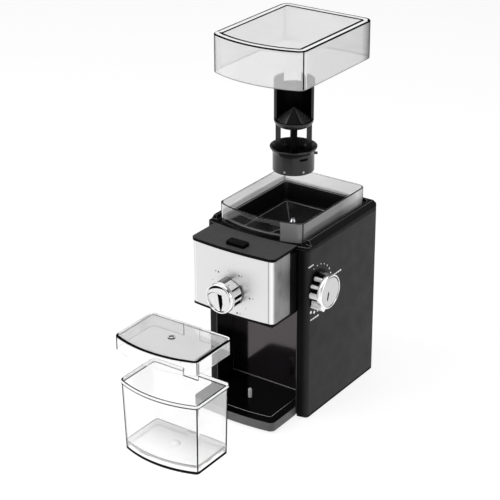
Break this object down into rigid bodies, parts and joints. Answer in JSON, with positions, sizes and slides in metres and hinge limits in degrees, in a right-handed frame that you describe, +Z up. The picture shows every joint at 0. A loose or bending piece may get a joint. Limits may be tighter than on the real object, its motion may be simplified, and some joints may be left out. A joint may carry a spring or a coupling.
{
  "type": "electric coffee grinder",
  "caption": "Electric burr coffee grinder with steel-faced head, clear hopper, lift-out burr carrier and pull-out clear container, shown with its loose pieces drawn apart.",
  "frame": {"origin": "on the vertical drive axis of the burrs, at the level of the floor under the feet", "axes": "+Z up along the drive axis, -Y the way the steel front and the container face, +X the side with the fineness knob"},
  "size_m": [0.158, 0.3613, 0.4475],
  "materials": {
    "black_plastic": "satin",
    "gloss_black": "gloss",
    "clear_plastic": "clear gloss",
    "steel_panel": "brushed",
    "chrome": "polished",
    "bright_steel": "turned",
    "rubber": "matte",
    "white_ink": "printed",
    "lamination": "oiled",
    "copper": "enamelled wire",
    "carbon": "matte",
    "gear_plastic": "satin",
    "inner_plastic": "satin",
    "bracket_metal": "cast",
    "board": "solder mask"
  },
  "bodies": {
    "grinder_body": {"outer_shell": "black_plastic", "base_plate": "black_plastic", "rubber_feet": "rubber", "base_screws": "bright_steel", "top_deck": "black_plastic", "hopper_bowl": "gloss_black", "hopper_collar": "clear_plastic", "bay_liner": "gloss_black", "base_tray": "black_plastic", "tray_cover": "black_plastic", "head_housing": "black_plastic", "steel_front_panel": "steel_panel", "head_cover": "black_plastic", "side_dial_plate": "gloss_black", "side_dial_marks": "white_ink", "side_bush": "bright_steel", "rack_guide": "inner_plastic", "grinding_chamber": "inner_plastic", "chamber_screws": "bright_steel", "grounds_chute": "inner_plastic", "motor_stator": "lamination", "motor_coils": "copper", "motor_top_bracket": "bracket_metal", "motor_bottom_bracket": "bracket_metal", "motor_mounts": "rubber", "top_bearing": "bright_steel", "bottom_bearing": "bright_steel", "brush_holders": "inner_plastic", "carbon_brushes": "carbon", "timer_switch": "inner_plastic", "start_switch": "inner_plastic", "start_spring": "bright_steel", "safety_switch": "inner_plastic", "pin_spring": "bright_steel", "control_board": "board", "board_parts": "inner_plastic", "cord_gland": "inner_plastic"},
    "start_button": {"start_button": "black_plastic"},
    "front_knob": {"front_knob": "chrome", "front_spindle": "bright_steel"},
    "side_knob": {"side_knob": "chrome", "side_spindle": "bright_steel", "side_pinion": "gear_plastic"},
    "adjust_rack": {"adjust_rack": "gear_plastic"},
    "adjust_ring": {"adjust_ring": "gear_plastic"},
    "drive": {"drive_shaft": "bright_steel", "rotor": "lamination", "commutator": "copper", "cooling_fan": "inner_plastic", "impeller": "gear_plastic", "lower_burr": "bright_steel", "burr_nut": "bright_steel"},
    "burr_carrier": {"burr_carrier": "black_plastic", "upper_burr": "bright_steel", "carrier_screws": "chrome"},
    "hopper_lid": {"hopper_lid": "clear_plastic"},
    "interlock_pin": {"interlock_pin": "chrome"},
    "container": {"container": "clear_plastic"},
    "container_lid": {"container_lid": "clear_plastic"}
  },
  "joints": [
    {"name": "burr_carrier_lift", "type": "slide", "parent": "grinder_body", "child": "burr_carrier", "axis": [0, 0, 1], "range_m": [-0.122, 0]},
    {"name": "hopper_lid_lift", "type": "slide", "parent": "burr_carrier", "child": "hopper_lid", "axis": [0, 0, 1], "range_m": [-0.0584, 0]},
    {"name": "container_pull", "type": "slide", "parent": "grinder_body", "child": "container", "axis": [0, -1, 0], "range_m": [-0.147, 0]},
    {"name": "container_lid_lift", "type": "slide", "parent": "container", "child": "container_lid", "axis": [0, 0, 1], "range_m": [-0.053, 0]},
    {"name": "interlock_press", "type": "slide", "parent": "grinder_body", "child": "interlock_pin", "axis": [0, 0, 1], "range_m": [-0.006, 0], "deforming": ["pin_spring"]},
    {"name": "start_press", "type": "slide", "parent": "grinder_body", "child": "start_button", "axis": [0, 0, -1], "range_m": [0, 0.003], "stiffness_N_per_m": 300, "springref_m": -0.003, "deforming": ["start_spring"]},
    {"name": "front_knob_turn", "type": "hinge", "parent": "grinder_body", "child": "front_knob", "pos_m": [0, -0.13, 0.1696], "axis": [0, -1, 0], "range_deg": [-140, 140]},
    {"name": "side_knob_turn", "type": "hinge", "parent": "grinder_body", "child": "side_knob", "pos_m": [0.07, -0.0549, 0.1641], "axis": [1, 0, 0], "range_deg": [-100, 100]},
    {"name": "adjust_rack_slide", "type": "slide", "parent": "grinder_body", "child": "adjust_rack", "axis": [0, 1, 0], "range_m": [-0.0158, 0.0158]},
    {"name": "adjust_ring_turn", "type": "hinge", "parent": "grinder_body", "child": "adjust_ring", "pos_m": [0, 0, 0.17], "axis": [0, 0, 1], "range_deg": [-24.5, 24.5]},
    {"name": "burr_spin", "type": "hinge", "parent": "grinder_body", "child": "drive", "pos_m": [0, 0, 0.1], "axis": [0, 0, 1], "continuous": true}
  ],
  "couplings": [
    {"joint": "container_lid_lift", "follows": "container_pull", "ratio": 0.3605},
    {"joint": "interlock_press", "follows": "container_pull", "ratio": 0.0408},
    {"joint": "adjust_rack_slide", "follows": "side_knob_turn", "m_per_rad": -0.009},
    {"joint": "adjust_ring_turn", "follows": "side_knob_turn", "ratio": -0.24}
  ]
}
